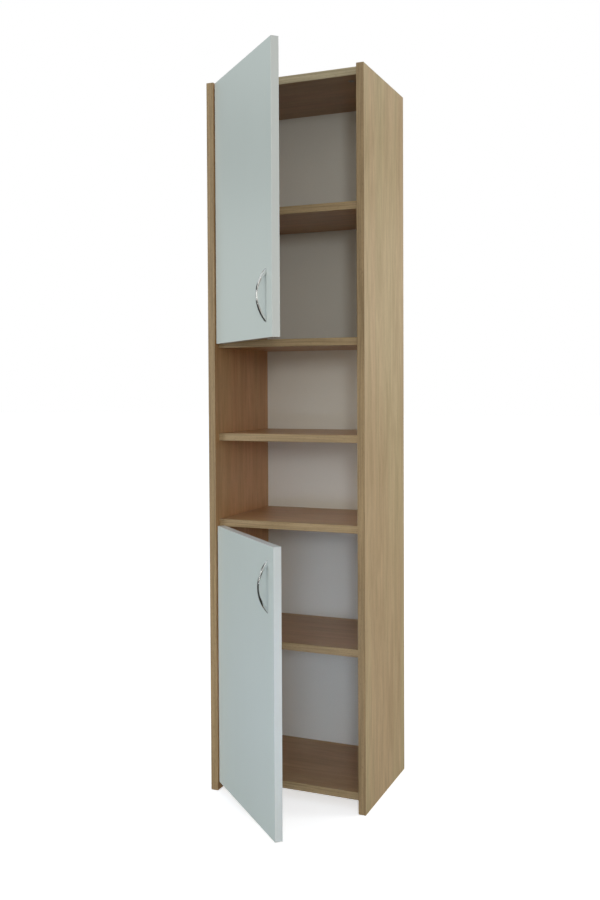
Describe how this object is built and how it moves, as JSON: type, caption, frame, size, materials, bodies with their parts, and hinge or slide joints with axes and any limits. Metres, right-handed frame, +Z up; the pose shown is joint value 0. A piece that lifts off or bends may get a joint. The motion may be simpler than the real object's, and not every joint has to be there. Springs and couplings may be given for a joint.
{
  "type": "tall bathroom cabinet",
  "caption": "Tall narrow free-standing bathroom cabinet with an upper and a lower cupboard, left-hinged doors with bow handles, and open niches between them.",
  "frame": {"origin": "on the floor, at the middle of the rectangle that the two side panels and the back panel cover", "axes": "+Z up along the height, -Y to the front where the doors and niches open, +X to the right seen from the front; both doors stand open about 44 degrees at rest"},
  "size_m": [0.4, 0.5555, 1.72],
  "materials": {
    "white_hardboard": "white lacquered hardboard, semi-gloss",
    "steel_nail": "bright",
    "oak_laminate": "matt wood-grain laminate on chipboard",
    "oak_edge": "matt wood-grain edge banding",
    "plated_steel": "nickel-plated",
    "zinc_die_cast": "dull die-cast zinc",
    "gloss_door": "high-gloss pale film on fibreboard",
    "clear_bumper": "clear, soft",
    "gloss_edge": "high-gloss pale edge banding",
    "chrome_handle": "polished",
    "beech_dowel": "raw beech, fluted"
  },
  "bodies": {
    "carcass": {"back_panel": "white_hardboard", "back_panel_nails": "steel_nail", "bottom_panel": "oak_laminate", "bottom_panel_edge_band": "oak_edge", "cam_bolts": "plated_steel", "cam_locks": "zinc_die_cast", "left_side_edge_band": "oak_edge", "left_side_panel": "oak_laminate", "lower_fixed_shelf": "oak_laminate", "lower_fixed_shelf_edge_band": "oak_edge", "lower_hinge_arm_pins": "plated_steel", "lower_hinge_arm_screws": "plated_steel", "lower_hinge_arms": "plated_steel", "lower_hinge_plate_screws": "plated_steel", "lower_hinge_plates": "plated_steel", "lower_shelf": "oak_laminate", "lower_shelf_edge_band": "oak_edge", "lower_shelf_pins": "plated_steel", "niche_shelf": "oak_laminate", "niche_shelf_edge_band": "oak_edge", "right_side_edge_band": "oak_edge", "right_side_panel": "oak_laminate", "top_panel": "oak_laminate", "top_panel_edge_band": "oak_edge", "upper_fixed_shelf": "oak_laminate", "upper_fixed_shelf_edge_band": "oak_edge", "upper_hinge_arm_pins": "plated_steel", "upper_hinge_arm_screws": "plated_steel", "upper_hinge_arms": "plated_steel", "upper_hinge_plate_screws": "plated_steel", "upper_hinge_plates": "plated_steel", "upper_shelf": "oak_laminate", "upper_shelf_edge_band": "oak_edge", "upper_shelf_pins": "plated_steel", "wooden_dowels": "beech_dowel"},
    "upper_door": {"upper_door_board": "gloss_door", "upper_door_bumpers": "clear_bumper", "upper_door_edge_band": "gloss_edge", "upper_handle": "chrome_handle", "upper_handle_screws": "plated_steel", "upper_hinge_cup_pins": "plated_steel", "upper_hinge_cup_screws": "plated_steel", "upper_hinge_cups": "plated_steel"},
    "upper_outer_links": {"upper_hinge_outer_links": "plated_steel"},
    "upper_inner_links": {"upper_hinge_inner_links": "plated_steel"},
    "lower_door": {"lower_door_board": "gloss_door", "lower_door_bumpers": "clear_bumper", "lower_door_edge_band": "gloss_edge", "lower_handle": "chrome_handle", "lower_handle_screws": "plated_steel", "lower_hinge_cup_pins": "plated_steel", "lower_hinge_cup_screws": "plated_steel", "lower_hinge_cups": "plated_steel"},
    "lower_outer_links": {"lower_hinge_outer_links": "plated_steel"},
    "lower_inner_links": {"lower_hinge_inner_links": "plated_steel"}
  },
  "joints": [
    {"name": "upper_outer_link_hinge", "type": "hinge", "parent": "carcass", "child": "upper_outer_links", "pos_m": [-0.145, -0.117, 1.405], "axis": [0, 0, -1], "range_deg": [-23.66, 22.34]},
    {"name": "upper_inner_link_hinge", "type": "hinge", "parent": "carcass", "child": "upper_inner_links", "pos_m": [-0.151, -0.136, 1.405], "axis": [0, 0, -1], "range_deg": [-35.7, 33.7]},
    {"name": "upper_door_hinge", "type": "hinge", "parent": "upper_outer_links", "child": "upper_door", "pos_m": [-0.1605, -0.14616, 1.405], "axis": [0, 0, -1], "range_deg": [-65.99, 69.91]},
    {"name": "lower_outer_link_hinge", "type": "hinge", "parent": "carcass", "child": "lower_outer_links", "pos_m": [-0.145, -0.117, 0.3355], "axis": [0, 0, -1], "range_deg": [-23.66, 22.34]},
    {"name": "lower_inner_link_hinge", "type": "hinge", "parent": "carcass", "child": "lower_inner_links", "pos_m": [-0.151, -0.136, 0.3355], "axis": [0, 0, -1], "range_deg": [-35.7, 33.7]},
    {"name": "lower_door_hinge", "type": "hinge", "parent": "lower_outer_links", "child": "lower_door", "pos_m": [-0.1605, -0.14616, 0.3355], "axis": [0, 0, -1], "range_deg": [-65.99, 69.91]}
  ],
  "couplings": [
    {"joint": "upper_outer_link_hinge", "follows": "upper_door_hinge", "ratio": -0.33775},
    {"joint": "upper_inner_link_hinge", "follows": "upper_door_hinge", "ratio": -0.50993},
    {"joint": "lower_outer_link_hinge", "follows": "lower_door_hinge", "ratio": -0.33775},
    {"joint": "lower_inner_link_hinge", "follows": "lower_door_hinge", "ratio": -0.50993}
  ]
}
